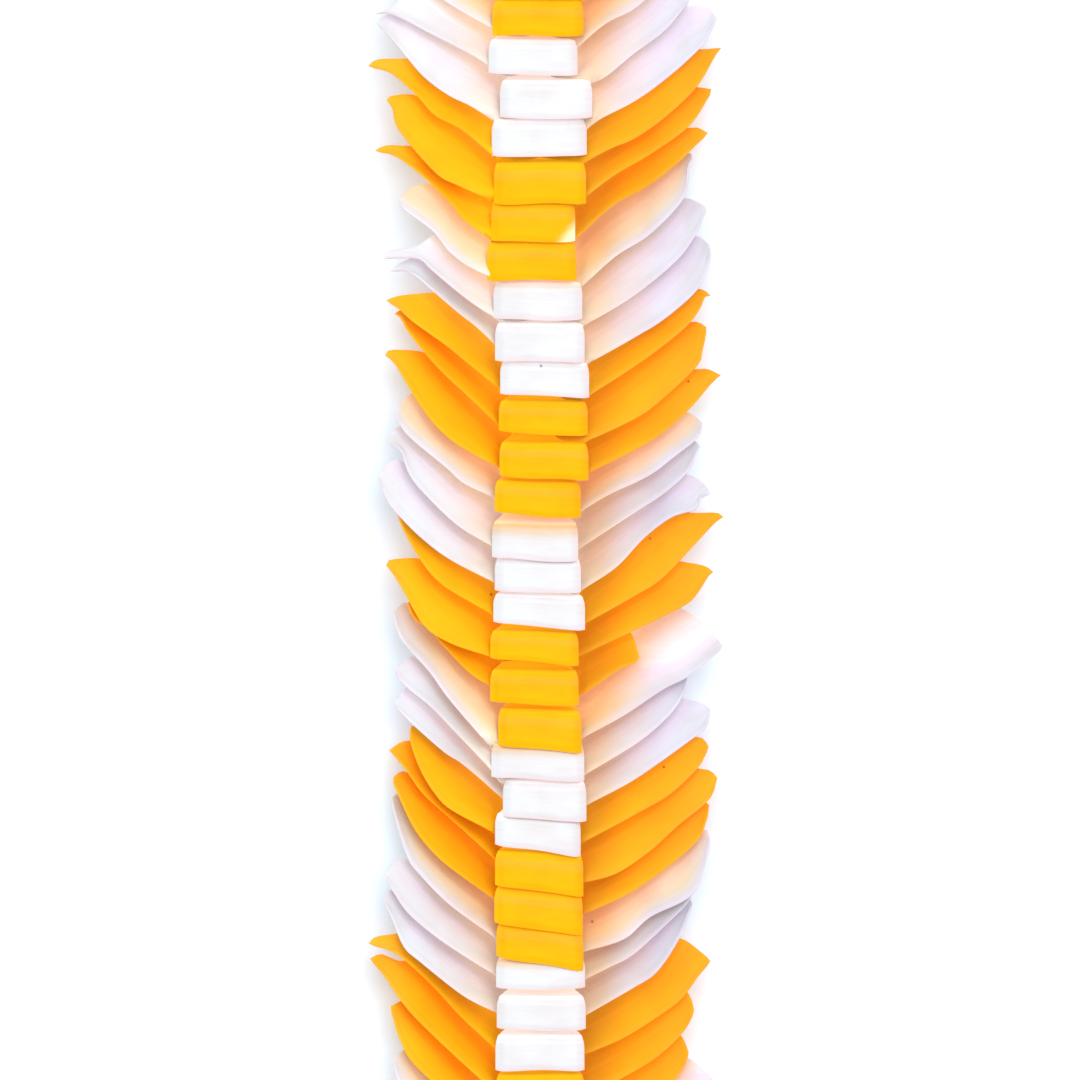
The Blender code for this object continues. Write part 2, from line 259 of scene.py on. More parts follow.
# Petals of the straight stretch at -X, from this one on. First its tab: shift inwards, forward,
# turn in degrees and width. Then the outlines of its outer and its inner wing, each as pairs
# (out, forward): along the rim from the tab to the tip, which is the furthest point out, and
# back along the top edge. Every other petal of the loop repeats one of them.
FIRST_SET_PETAL = 24
SET_PETALS = (
    (
        (0.0, 0.1, 0, 12.9),
        (7.0, 1.0, 17.5, 9.6, 20.5, 14.0, 21.9, 18.7, 20.0, 19.6, 17.5, 19.8),
        (6.4, -0.8, 12.0, 2.4, 17.0, 5.4, 20.5, 9.0, 21.8, 12.0, 20.6, 14.5),
    ),
    (
        (0.1, 0.1, 0, 13.2),
        (7.0, 1.0, 16.8, 10.0, 20.5, 14.1, 22.8, 17.5, 24.9, 20.0, 23.3, 20.6, 20.5, 19.5),
        (6.4, -0.6, 12.0, 2.6, 17.0, 5.6, 21.0, 9.4, 22.6, 12.5, 22.0, 14.5, 20.5, 16.0),
    ),
    (
        (0.0, -0.1, 0, 12.9),
        (6.3, 1.1, 11.4, 5.8, 15.2, 9.9, 19.0, 13.5, 21.6, 15.4, 25.1, 16.6, 24.1, 17.5, 21.3, 17.9),
        (6.1, 0.2, 11.7, 2.6, 16.1, 5.2, 20.5, 8.4, 23.4, 12.1, 25.0, 14.0, 24.1, 14.9, 20.5, 17.2),
    ),
    (
        (0.0, 0.2, 0, 12.9),
        (6.0, 0.8, 11.1, 3.4, 17.5, 8.4, 19.9, 10.6, 21.8, 15.0, 23.0, 17.3, 21.5, 18.9),
        (6.1, 0.2, 13.7, 4.6, 17.1, 6.9, 20.3, 11.6, 22.4, 16.7, 21.2, 18.2),
    ),
    (
        (0.2, 0.6, 0, 12.9),
        (6.6, 1.0, 10.2, 3.2, 14.6, 6.1, 19.0, 9.7, 21.2, 12.7, 22.7, 15.6, 21.2, 17.5),
        (6.4, 0.2, 10.2, 2.1, 13.7, 4.0, 19.2, 9.0, 21.9, 11.9, 22.7, 14.9, 21.6, 16.3),
    ),
    (
        (0.1, 1.1, 0, 12.9),
        (6.7, 1.1, 13.2, 5.8, 17.5, 10.1, 19.3, 12.5, 21.2, 18.3, 21.8, 21.2, 20.5, 21.8),
        (6.6, -1.0, 12.3, 0.8, 16.1, 4.0, 22.4, 7.4, 24.6, 13.6, 25.0, 14.8, 24.1, 16.7),
    ),
    (
        (0.0, -0.6, 10, 12.6),
        (6.9, 1.4, 13.2, 5.9, 16.1, 8.6, 18.6, 11.9, 21.2, 17.5, 21.5, 18.9, 20.9, 19.5, 19.3, 19.5),
        (6.1, -1.1, 13.0, 2.1, 18.9, 6.1, 23.2, 9.9, 24.1, 12.2, 24.7, 14.1, 24.6, 15.3),
    ),
    (
        (-0.2, -0.9, 9, 12.8),
        (6.3, 1.5, 11.1, 5.9, 16.8, 11.0, 19.0, 13.9, 20.9, 16.4, 22.1, 17.6, 20.5, 18.7, 19.0, 18.9),
        (
            6.1, -1.7, 11.1, -0.3, 16.1, 3.0, 20.0, 6.5, 24.7, 10.4, 25.7, 12.9, 26.0, 13.6, 25.0, 14.6,
            23.2, 14.9,
        ),
    ),
    (
        (-0.1, -0.6, 8, 12.8),
        (6.9, 0.5, 12.9, 3.7, 15.2, 5.9, 17.4, 9.4, 18.9, 13.5, 18.9, 15.8, 17.5, 15.9),
        (6.0, -1.2, 13.7, 2.9, 18.9, 5.9, 23.0, 9.7, 24.0, 11.4, 24.7, 12.9, 24.0, 14.0, 22.8, 14.3),
    ),
    (
        (-0.3, 0.1, 8, 12.4),
        (5.3, 0.0, 11.1, 5.0, 14.0, 6.9, 19.0, 11.3, 20.8, 13.2, 21.2, 14.2, 17.0, 19.0),
        (6.7, -0.9, 13.0, 2.4, 17.4, 5.3, 22.8, 9.2, 24.0, 10.1, 24.9, 12.3, 24.6, 13.5, 21.1, 14.6),
    ),
    (
        (0.7, -0.6, 3, 12.1),
        (7.3, -0.7, 13.3, 5.6, 16.1, 8.4, 19.0, 10.7, 20.8, 12.5, 21.2, 13.9, 19.0, 15.5),
        (6.6, -1.6, 10.2, 0.5, 15.2, 3.7, 19.3, 7.4, 21.1, 10.3, 21.6, 12.5, 20.5, 13.4),
    ),
    (
        (-0.3, 0.0, 2, 13.5),
        (7.6, -2.4, 13.3, 4.2, 16.2, 8.2, 19.9, 12.3, 21.1, 14.8, 21.5, 17.0, 19.3, 18.2),
        (
            6.4, -1.4, 12.3, 1.8, 18.1, 5.6, 21.6, 7.4, 25.6, 10.7, 26.8, 11.9, 23.8, 15.3, 20.2, 17.6,
            17.0, 17.9, 13.0, 16.2,
        ),
    ),
    (
        (0.0, -0.9, 6, 12.1),
        (7.2, 0.8, 10.2, 2.7, 14.0, 6.6, 16.4, 9.3, 18.4, 10.6, 19.3, 12.8, 18.7, 13.6),
        (5.6, -0.8, 8.3, 0.9, 11.1, 3.0, 13.5, 4.1, 14.6, 4.9, 13.2, 8.7),
    ),
    (
        (-0.8, 0.4, 2, 12.8),
        (7.2, -0.2, 12.9, 1.7, 16.8, 4.2, 19.6, 8.8, 21.5, 12.0, 22.5, 13.1, 21.8, 13.9, 17.4, 14.0),
        (5.6, -0.2, 13.5, 3.5, 18.1, 5.7, 22.2, 8.0, 24.7, 11.7, 25.4, 12.1, 24.1, 13.0, 20.3, 13.7),
    ),
    (
        (-0.8, 1.2, 6, 12.8),
        (7.0, 0.6, 12.1, 3.5, 14.5, 5.1, 16.8, 7.6, 19.6, 12.2, 20.9, 15.4, 19.7, 14.3),
        (6.7, -0.7, 13.7, 3.2, 17.7, 5.7, 22.4, 10.5, 25.7, 14.1, 26.9, 14.8, 25.9, 15.4, 22.1, 15.4),
    ),
    (
        (-0.1, 0.9, 5, 13.3),
        (6.4, -0.3, 13.0, 3.1, 17.3, 6.3, 20.9, 9.9, 22.5, 12.1, 23.7, 15.5, 21.2, 17.8),
        (
            6.1, -1.3, 11.1, 2.0, 15.2, 6.3, 19.2, 9.3, 22.8, 10.5, 23.4, 12.1, 25.0, 12.7, 24.7, 13.4,
            23.4, 14.8, 21.8, 15.5,
        ),
    ),
    (
        (-0.3, 0.4, 3, 12.5),
        (7.0, -0.4, 12.1, 2.7, 17.4, 7.8, 19.3, 10.5, 20.3, 13.5, 22.5, 14.8, 20.9, 17.0),
        (5.4, -1.0, 13.7, 4.4, 18.1, 7.3, 21.6, 10.4, 22.8, 13.0, 23.5, 14.2, 22.5, 15.1),
    ),
    (
        (-0.7, -0.5, 3, 12.5),
        (6.6, 1.1, 11.1, 3.2, 13.7, 5.5, 18.6, 9.5, 20.5, 11.8, 21.1, 13.9, 18.7, 16.4),
        (6.0, -0.9, 10.2, 1.6, 15.8, 4.2, 19.7, 7.1, 23.0, 9.8, 23.8, 12.0, 21.6, 13.6),
    ),
    (
        (-0.3, 0.3, 5, 12.5),
        (
            5.8, -0.3, 11.1, 2.6, 13.7, 4.5, 16.1, 7.0, 19.0, 11.3, 21.3, 15.2, 22.7, 16.2, 21.9, 17.0,
            17.3, 16.8,
        ),
        (7.2, -0.9, 13.5, 2.2, 17.7, 4.7, 22.1, 8.6, 25.3, 12.4, 26.5, 13.3, 24.6, 14.2, 22.8, 14.2),
    ),
    (
        (0.6, 0.0, 3, 12.9),
        (5.7, -0.1, 11.1, 5.1, 13.2, 7.0, 16.1, 10.0, 19.3, 14.0, 20.2, 15.9, 21.3, 16.6, 20.5, 17.1),
        (7.2, -2.0, 13.7, 1.1, 17.0, 3.3, 22.8, 8.7, 23.8, 11.2, 24.4, 14.6, 23.4, 15.3, 22.2, 15.4),
    ),
    (
        (0.5, 0.7, 3, 12.9),
        (6.3, 0.1, 10.5, 3.5, 13.7, 6.1, 18.6, 9.6, 20.5, 11.4, 22.5, 12.7, 20.3, 13.4, 15.2, 13.9),
        (7.3, -1.2, 15.4, 4.1, 20.9, 8.4, 23.2, 11.1, 24.1, 13.3, 25.0, 13.4, 24.1, 14.2, 23.0, 14.4),
    ),
    (
        (0.7, 0.3, 2, 12.9),
        (6.0, -0.2, 9.2, 2.9, 12.1, 5.2, 16.1, 8.6, 19.2, 11.0, 21.9, 11.0, 20.5, 12.2),
        (7.2, -2.4, 13.7, 1.3, 18.1, 4.0, 22.8, 8.1, 24.6, 11.6, 25.0, 14.4, 24.7, 15.1, 22.8, 16.3),
    ),
    (
        (0.0, -0.6, 1, 13.0),
        (6.3, -1.9, 10.5, 0.9, 15.6, 5.1, 17.5, 6.9, 20.5, 7.0, 23.0, 6.9, 22.1, 8.0, 18.0, 8.8),
        (6.6, -2.8, 13.7, 1.5, 20.0, 6.7, 22.8, 10.5, 23.8, 13.0, 24.4, 13.8, 24.0, 14.8, 21.1, 15.9),
    ),
    (
        (-0.3, -0.4, 0, 12.9),
        (7.0, -1.8, 10.5, -0.1, 13.3, 2.1, 15.6, 5.0, 19.9, 8.2, 20.6, 9.7, 19.2, 11.2, 16.1, 12.0),
        (6.1, -3.2, 11.1, 1.4, 16.1, 4.6, 21.1, 10.0, 21.8, 14.4, 22.4, 15.8, 22.1, 16.6),
    ),
    (
        (-1.2, -0.6, 0, 13.0),
        (7.5, -2.0, 11.1, 0.7, 12.6, 2.6, 16.1, 6.2, 20.8, 9.9, 24.1, 10.8, 22.5, 11.6, 18.7, 11.6),
        (5.1, -2.2, 10.7, 2.9, 15.5, 5.6, 20.0, 9.0, 23.2, 12.1, 24.6, 13.5, 23.2, 14.3, 21.8, 14.3),
    ),
    (
        (-1.0, -0.9, 0, 12.2),
        (
            7.0, -2.5, 12.1, -0.2, 14.9, 1.3, 19.2, 6.0, 21.1, 8.8, 21.5, 11.2, 22.5, 12.3, 21.5, 13.0,
            18.0, 13.0,
        ),
        (7.0, -1.6, 11.1, 1.5, 16.1, 4.4, 21.8, 8.5, 24.7, 12.9, 25.1, 14.0, 23.0, 14.3),
    ),
    (
        (0.0, -1.3, 0, 13.4),
        (
            6.9, -1.8, 11.4, 2.0, 15.2, 4.0, 17.5, 6.5, 19.2, 8.2, 21.9, 10.4, 25.1, 11.3, 23.7, 12.3,
            19.2, 12.5,
        ),
        (5.8, -3.3, 10.2, -0.8, 13.6, 0.6, 18.1, 3.7, 23.0, 8.4, 25.7, 13.1, 26.6, 14.1, 23.5, 13.9),
    ),
    (
        (-0.1, -0.2, 0, 13.8),
        (7.2, -2.3, 10.2, -0.4, 13.3, 1.1, 16.8, 3.7, 19.6, 6.9, 22.7, 10.6, 24.1, 11.7, 22.7, 13.0),
        (7.2, -3.5, 9.1, -2.2, 14.2, 0.5, 19.3, 4.3, 23.4, 8.1, 24.7, 10.0, 25.9, 12.6, 24.1, 14.4),
    ),
    (
        (0.9, -0.5, 0, 13.4),
        (7.2, -0.5, 10.2, 1.4, 16.1, 4.4, 21.5, 7.1, 24.1, 7.1, 21.5, 8.4),
        (7.7, -2.9, 9.5, -2.1, 13.7, 1.4, 18.1, 4.7, 21.1, 8.2, 21.9, 9.3, 20.5, 9.8),
    ),
    (
        (-1.0, 0.1, 0, 12.9),
        (7.0, -0.6, 11.0, 1.6, 15.0, 4.2, 19.0, 8.0, 21.8, 11.0, 22.9, 12.2, 21.5, 13.2),
        (5.0, -3.9, 9.5, 0.0, 13.7, 2.2, 18.0, 6.0, 22.6, 10.4, 25.0, 13.2, 23.6, 14.2),
    ),
    (
        (-0.3, 0.1, 0, 13.2),
        (6.8, -0.9, 11.0, 2.0, 15.0, 5.0, 19.0, 9.0, 21.2, 11.8, 22.6, 12.8, 20.6, 13.4),
        (6.8, -2.0, 12.0, 1.6, 17.0, 4.6, 22.0, 8.6, 24.2, 12.0, 25.2, 13.2, 23.6, 14.2),
    ),
    (
        (0.1, 0.6, 0, 12.9),
        (6.6, -0.8, 11.4, 2.2, 15.6, 5.2, 19.4, 9.2, 21.6, 12.0, 22.9, 13.3, 21.0, 14.0),
        (6.4, -1.8, 11.6, 1.8, 16.6, 4.8, 21.4, 9.0, 23.6, 12.2, 24.5, 13.8, 23.0, 14.8),
    ),
)


def walk_route():
    """The thread's route round the loop: lengths along it, places and headings."""
    steps = round(LOOP_LENGTH / ROUTE_STEP)
    along = np.linspace(0.0, LOOP_LENGTH, steps + 1)
    half = LOOP_LENGTH / 2
    from_bend = np.abs((along + half / 2) % half - half / 2)
    rate = np.clip((BEND_HALF - from_bend) / BEND_RAMP, 0.0, 1.0) / BEND_RADIUS
    turned = np.concatenate(([0.0], np.cumsum((rate[1:] + rate[:-1]) / 2) * along[1]))
    heading = math.pi - turned
    east = np.cos(heading)
    north = np.sin(heading)
    x = np.concatenate(([0.0], np.cumsum((east[1:] + east[:-1]) / 2) * along[1]))
    y = np.concatenate(([0.0], np.cumsum((north[1:] + north[:-1]) / 2) * along[1]))
    x -= (x.max() + x.min()) / 2
    y -= (y.max() + y.min()) / 2
    return along, x, y, heading


def bend_along(route, points, start):
    """Moves points of a straight strand (across, forward, up) onto the loop, from start on."""
    along, x, y, heading = route
    wave = math.cos(2 * math.pi * (start - SPACING_START) / SPACING_PERIOD)
    at = (start + points[:, 1] - SPACING_WAVE * wave) % LOOP_LENGTH
    angle = np.interp(at, along, heading)
    placed = np.empty_like(points)
    placed[:, 0] = np.interp(at, along, x) + points[:, 0] * np.sin(angle)
    placed[:, 1] = np.interp(at, along, y) - points[:, 0] * np.cos(angle)
    placed[:, 2] = points[:, 2]
    return placed


def smooth_line(points, count):
    """Evenly spaced points on a smooth curve through the given ones (Catmull-Rom)."""
    p = np.array(points, dtype=float)
    p = np.vstack((2 * p[0] - p[1], p, 2 * p[-1] - p[-2]))
    t = np.linspace(0.0, 1.0, CURVE_STEPS, endpoint=False)[:, None]
    pieces = []
    for a, b, c, d in zip(p, p[1:], p[2:], p[3:]):
        cubic = 3 * b - 3 * c + d - a
        square = 2 * a - 5 * b + 4 * c - d
        pieces.append(b + 0.5 * ((c - a) * t + square * t ** 2 + cubic * t ** 3))
    fine = np.vstack((*pieces, p[-2:-1]))
    lengths = np.concatenate(([0.0], np.cumsum(np.linalg.norm(np.diff(fine, axis=0), axis=1))))
    at = np.linspace(0.0, lengths[-1], count)
    return np.stack([np.interp(at, lengths, fine[:, i]) for i in range(fine.shape[1])], axis=1)


def rim_line(across):
    """How far forward the rims lie at a signed distance across the strand, outer side negative."""
    lines = []
    past = np.maximum(np.abs(across) - RIM_START, 0.0)
    for start, slope, curve in zip(RIM_START_FORWARD, RIM_SLOPE, RIM_CURVE):
        lines.append(start + slope * past + curve * past * past)
    inner_share = np.clip(across / RIM_START / 2 + 0.5, 0.0, 1.0)
    return lines[0] * (1 - inner_share) + lines[1] * inner_share


def sheet_height(across, forward):
    """Height of the surface that all petals share, which falls forwards everywhere."""
    out = np.abs(across)
    share = np.clip((out - RIM_START) / WING_SPAN, 0.0, SPAN_LIMIT)
    depth = forward - rim_line(across)
    fall = FALL_AT_TIP + FALL_MORE_AT_ROOT * (1 - share) ** 2
    curve = FALL_CURVE_AT_TIP + FALL_CURVE_MORE_AT_ROOT * (1 - share) ** 2
    sink = fall * depth + curve * np.maximum(depth, 0.0) ** 2
    dip = BASE_DIP * np.clip(1 - out / RIM_START, 0.0, 1.0) ** BASE_DIP_POWER
    return RIM_HEIGHT - RIM_DROP * share * share - sink - dip


def rim_of(outline):
    """The points of a wing's outline, and how many of them are its rim."""
    points = np.array(outline).reshape(-1, 2)
    return points, len(points) - int(np.argmax(points[::-1, 0]))


def rim_forward(outline, out):
    """How far forward a wing's rim lies at a distance out from the thread."""
    points, count = rim_of(outline)
    return np.interp(out, points[:count, 0], points[:count, 1])


def wing_lines(outline, next_outline):
    """One wing's rim and back line, both from the thread out to the tip.

    The rim starts under the tab. The back line reaches under the next petal's rim, so the wings
    close up.
    """
    points, count = rim_of(outline)
    rim = points[:count]
    top = points[count - 1 :][::-1]
    inner_out, inner_forward = top[0]
    next_tip = rim_of(next_outline)[0][:, 0].max()
    back = []
    for out in np.arange(RIM_START + BACK_START, inner_out - BACK_END, BACK_STEP):
        share = min((out - RIM_START) / WIDENING, 1.0)
        width = WING_ROOT_WIDTH + (WING_WIDTH - WING_ROOT_WIDTH) * share
        forward = rim_forward(outline, out) + width
        forward = min(forward, inner_forward + BACK_SLOPE * (inner_out - out))
        if out < next_tip - COVER_END:
            forward = max(forward, rim_forward(next_outline, out) + PITCH + COVER)
        back.append((out, forward))
    slope = (rim[1, 1] - rim[0, 1]) / (rim[1, 0] - rim[0, 0])
    root = (ROOT_UNDER_TAB, rim[0, 1] - slope * (rim[0, 0] - ROOT_UNDER_TAB))
    return np.vstack((root, rim)), np.vstack((*back, top))


def below_tab(tab, across, forward, up):
    """Presses a petal's wing roots down where its own tab lies over them."""
    shift, _, _, width = tab
    top = np.array(TAB_PROFILE[: -TAB_TOP_POINTS - 1 : -1])
    ceiling = np.interp(forward, top[:, 0], top[:, 1]) - UNDER_TAB_GAP
    beside = np.maximum(np.abs(across - shift) - width / 2 + UNDER_TAB_EDGE, 0.0)
    behind = np.maximum(forward - TAB_FOLD, 0.0)
    room = ceiling + RISE_BESIDE * beside + RISE_BEHIND * behind - up
    return up + (room - np.sqrt(room * room + PRESS_ROUNDING ** 2)) / 2


def exposed_width(across, outlines, next_outlines):
    """How far forward each part of a petal reaches before the next petal covers it."""
    out = np.abs(across)
    widths = []
    for outline, next_outline in zip(outlines, next_outlines):
        covered_from = rim_forward(next_outline, out) + PITCH
        widths.append(np.clip(covered_from - rim_forward(outline, out), *EXPOSED_RANGE))
    return np.where(across < 0, *widths)


def covered_share(across, depth, next_outlines):
    """Where the next petal covers this one closely enough for painted bounce of its colour, from 0 to
    1.
    """
    tips = [rim_of(outline)[0][:, 0].max() for outline in next_outlines]
    reach = np.where(across < 0, *tips) + BOUNCE_PAST_TIP - np.abs(across)
    along = np.clip(reach / BOUNCE_FADE, 0.0, 1.0)
    return along * np.clip((depth - BOUNCE_START) / BOUNCE_GROWTH, 0.0, 1.0)


def wing_relief(out, depth, rng):
    """How far wings rise over their surface: a curled rim and a ripple."""
    curl = RIM_CURL * np.clip(1 - depth / RIM_CURL_WIDTH, 0.0, 1.0) ** 2
    relief = curl * np.clip((out - RIM_START - CURL_START) / CURL_GROWTH, 0.0, 1.0)
    phase = rng.uniform(0.0, 2 * math.pi)
    rate = RIPPLE_INWARDS + rng.uniform(-RIPPLE_SPREAD, RIPPLE_SPREAD)
    wave = np.sin(out * RIPPLE_ACROSS + depth * rate + phase)
    return relief + RIPPLE * wave * np.clip((out - RIM_START) / RIPPLE_GROWTH, 0.0, 1.0)


def petal_sheet(tab, outlines, next_outlines, bounce_share, rng):
    """The petal from its outer tip over the fold at the thread to its inner tip, as a grid.

    The given share says how much painted bounce of orange light it takes where the next petal covers
    it.
    """
    rims = []
    backs = []
    for sign, outline, next_outline in zip((-1, 1), outlines, next_outlines):
        rim, back = wing_lines(outline, next_outline)
        rims.append(rim * (sign, 1))
        backs.append(back * (sign, 1))
    fold = (rims[0][1, 1] + rims[1][1, 1]) / 2 + BASE_AHEAD
    rim = np.vstack((rims[0][::-1], ((0.0, fold),), rims[1]))
    back = np.vstack((backs[0][::-1], ((0.0, fold + BASE_WIDTH),), backs[1]))
    rim = smooth_line(rim, STEPS_ALONG)
    back = smooth_line(back, STEPS_ALONG)
    share = np.linspace(0.0, 1.0, STEPS_ACROSS)[None, :, None] ** RIM_CROWDING
    flat = rim[:, None, :] * (1 - share) + back[:, None, :] * share
    across, forward = flat[..., 0], flat[..., 1]
    depth = np.linalg.norm(flat - rim[:, None, :], axis=2)
    up = sheet_height(across, forward) + wing_relief(np.abs(across), depth, rng)
    up = below_tab(tab, across, forward, up)
    up = np.maximum(up, PETAL_THICKNESS / 2 + FLOOR_GAP)
    exposed = exposed_width(across, outlines, next_outlines)
    uv = np.stack((0.5 + across / ACROSS_UNIT, depth / INWARDS_UNIT * PITCH / exposed), axis=2)
    bounce_and_undyed = bounce_share * covered_share(across, depth, next_outlines)
    return np.stack((across, forward, up), axis=2), uv, bounce_and_undyed


def near_side(x, share):
    """Rises from 0 to 1 over the given share of a tab's half width next to each side."""
    return np.clip((np.abs(x) - 1) / share + 1, 0.0, 1.0) ** 2


def tab_bounce_and_undyed(uv, bounce_share, undyed):
    """Share of the other colour on a tab: painted bounce along its fold, or the own colour of its
    undyed corner.
    """
    if undyed:
        corner = uv[..., 1] / UNDYED_INWARDS + (1 - uv[..., 0]) / UNDYED_ACROSS
        return np.clip(UNDYED_SHARPNESS * (1 - corner), 0.0, 1.0)
    inwards = uv[..., 1] * TAB_BOUNCE_RATE - TAB_BOUNCE_START + TAB_BOUNCE_MORE * bounce_share
    return min(bounce_share * TAB_BOUNCE_GAIN, 1.0) * np.clip(inwards, 0.0, 1.0)


def tab_sheet(tab, more_turn, bounce_share, undyed, rng):
    """The folded middle of the petal, from under the previous tab to its free edge, as a grid."""
    shift, ahead, turn, width = tab
    profile = smooth_line(TAB_PROFILE, TAB_STEPS_ALONG)
    x = np.linspace(-1.0, 1.0, TAB_STEPS_ACROSS)
    x = np.sign(x) * np.abs(x) ** TAB_CROWDING
    grid = np.empty((TAB_STEPS_ACROSS, TAB_STEPS_ALONG, 3))
    past_fold = profile[:, 0] - TAB_FOLD
    flare = 1 - TAB_NECK * np.clip(past_fold / TAB_NECK_LENGTH, 0.0, 1.0)
    flare -= TAB_SHOULDER * np.clip(past_fold / TAB_SHOULDER_LENGTH + 1, 0.0, 1.0) ** 2
    grid[..., 0] = x[:, None] * width / 2 * flare[None, :]
    wobble = TAB_WOBBLE * np.sin(x * rng.uniform(*TAB_WOBBLE_RATE) + rng.uniform(*TAB_WOBBLE_START))
    wobble += TAB_CORNER * near_side(x, TAB_CORNER_SHARE)
    grid[..., 1] = profile[None, :, 0] + (ahead + wobble[:, None]) * profile[None, :, 0] / TAB_END
    crown = TAB_CROWN * (1 - x ** 2) - TAB_SIDE_CURL * near_side(x, TAB_CURL_SHARE)
    grid[..., 2] = profile[None, :, 1] + crown[:, None]
    lean = math.tan(math.radians(turn + more_turn))
    grid[..., 1] -= grid[..., 0] * lean * np.clip(grid[..., 1] / TAB_END, 0.0, 1.0)
    grid[..., 2] += TAB_ROLL * grid[..., 0] * lean * rng.uniform(*TAB_ROLL_SPREAD)
    grid[..., 0] += shift
    uv = np.empty((TAB_STEPS_ACROSS, TAB_STEPS_ALONG, 2))
    uv[..., 0] = (x[:, None] + 1) / 2
    uv[..., 1] = ((profile[:, 0] - profile[-1, 0]) / INWARDS_UNIT)[None, :]
    return grid, uv, tab_bounce_and_undyed(uv, bounce_share, undyed)


def thicken(grid, uv):
    """A grid as a closed thin body: its points, faces and UVs. It thins out to its edges."""
    rows, columns = grid.shape[:2]
    lengthwise = np.gradient(grid, axis=0)
    crosswise = np.gradient(grid, axis=1)
    normal = np.cross(lengthwise, crosswise)
    normal /= np.maximum(np.linalg.norm(normal, axis=2), 1e-9)[..., None]
    half = np.full((rows, columns, 1), PETAL_THICKNESS / 2)
    for edge in (np.s_[0], np.s_[-1], np.s_[:, 0], np.s_[:, -1]):
        half[edge] = EDGE_THICKNESS / 2
    points = np.concatenate((grid + normal * half, grid - normal * half)).reshape(-1, 3)
    index = np.arange(rows * columns).reshape(rows, columns)
    corners = (index[:-1, :-1], index[1:, :-1], index[1:, 1:], index[:-1, 1:])
    upper = np.stack(corners, axis=2).reshape(-1, 4)
    lower = upper[:, ::-1] + index.size
    loop = np.concatenate((index[:-1, 0], index[-1, :-1], index[:0:-1, -1], index[0, :0:-1]))
    onward = np.roll(loop, -1)
    sides = np.stack((onward, loop, loop + index.size, onward + index.size), axis=1)
    flat_uv = uv.reshape(-1, 2)
    return points, np.vstack((upper, lower, sides)), np.vstack((flat_uv, flat_uv))


def choose_petal(rng, number):
    """The set petal that a petal of the loop is: its own, or one of its colour drawn at random."""
    run = number // PETALS_PER_RUN
    alike = [
        place
        for place in range(len(SET_PETALS))
        if ((FIRST_SET_PETAL + place) // PETALS_PER_RUN - run) % len(COLOURS) == 0
    ]
    drawn = rng.choice(alike)
    own = number - FIRST_SET_PETAL
    return SET_PETALS[own if 0 <= own < len(SET_PETALS) else drawn]


def mesh_of(name, points, faces, uv, slots, bounce_and_undyed):
    """A mesh from arrays, with its petal coordinates as a UV map and a material slot a face."""
    mesh = bpy.data.meshes.new(name)
    mesh.from_pydata(points.tolist(), [], faces.tolist())
    layer = mesh.uv_layers.new(name="petal")
    layer.data.foreach_set("uv", uv[faces.ravel()].ravel())
    mesh.polygons.foreach_set("material_index", slots)
    # Share of painted bounce, or of the undyed corner's own colour, at each point
    mesh.attributes.new("bounce_and_undyed", "FLOAT", "POINT").data.foreach_set("value", bounce_and_undyed)
    mesh.shade_smooth()
    mesh.set_sharp_from_angle(angle=math.radians(SHARP_ANGLE))
    mesh.update()
    return mesh


def new_piece(name, mesh, collection):
    """An object for a mesh, in a collection."""
    piece = bpy.data.objects.new(name, mesh)
    collection.objects.link(piece)
    return piece


def build_run(index, petals, shapes, route, materials, collection):
    """Three petals of one colour in one piece, in place of their solid."""
    points = []
    faces = []
    uv = []
    slots = []
    bounces_and_undyed = []
    count = 0
    colour = COLOURS[index % len(COLOURS)]
    for number in range(PETALS_PER_RUN):
        place = index * PETALS_PER_RUN + number
        (tab, *outlines), turn = petals[place]
        (_, *next_outlines), _ = petals[(place + 1) % len(petals)]
        # A white petal under an orange one gets painted bounce of orange light
        under_orange = colour == "white" and number == PETALS_PER_RUN - 1
        bounce_share = float(under_orange)
        tab_bounce_share = bounce_share * TAB_BOUNCES.get(place, shapes.uniform(*OTHER_TAB_BOUNCES))
        undyed = place == UNDYED_PETAL
        grids = (
            petal_sheet(tab, outlines, next_outlines, bounce_share, shapes),
            tab_sheet(tab, turn, tab_bounce_share, undyed, shapes),
        )
        start = (index + 0.5) * RUN_LENGTH + (number - 1) * PITCH
        for slot, (grid, grid_uv, bounce_and_undyed) in enumerate(grids):
            body_points, body_faces, body_uv = thicken(grid, grid_uv)
            points.append(bend_along(route, body_points, start) * MM)
            faces.append(body_faces + count)
            uv.append(body_uv)
            slots.append(np.full(len(body_faces), slot))
            bounces_and_undyed.extend((bounce_and_undyed.ravel(), bounce_and_undyed.ravel()))
            count += len(body_points)
    run_name = f"{colour}_{index // len(COLOURS) + 1:02d}"
    node = f"petals_{run_name}"
    mesh = mesh_of(
        f"sheets_{run_name}",
        np.vstack(points),
        np.vstack(faces),
        np.vstack(uv),
        np.concatenate(slots),
        np.concatenate(bounces_and_undyed),
    )
    for material in materials[colour]:
        mesh.materials.append(material)
    piece = new_piece(mesh.name, mesh, collection)
    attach(piece, "root")
    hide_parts(node)


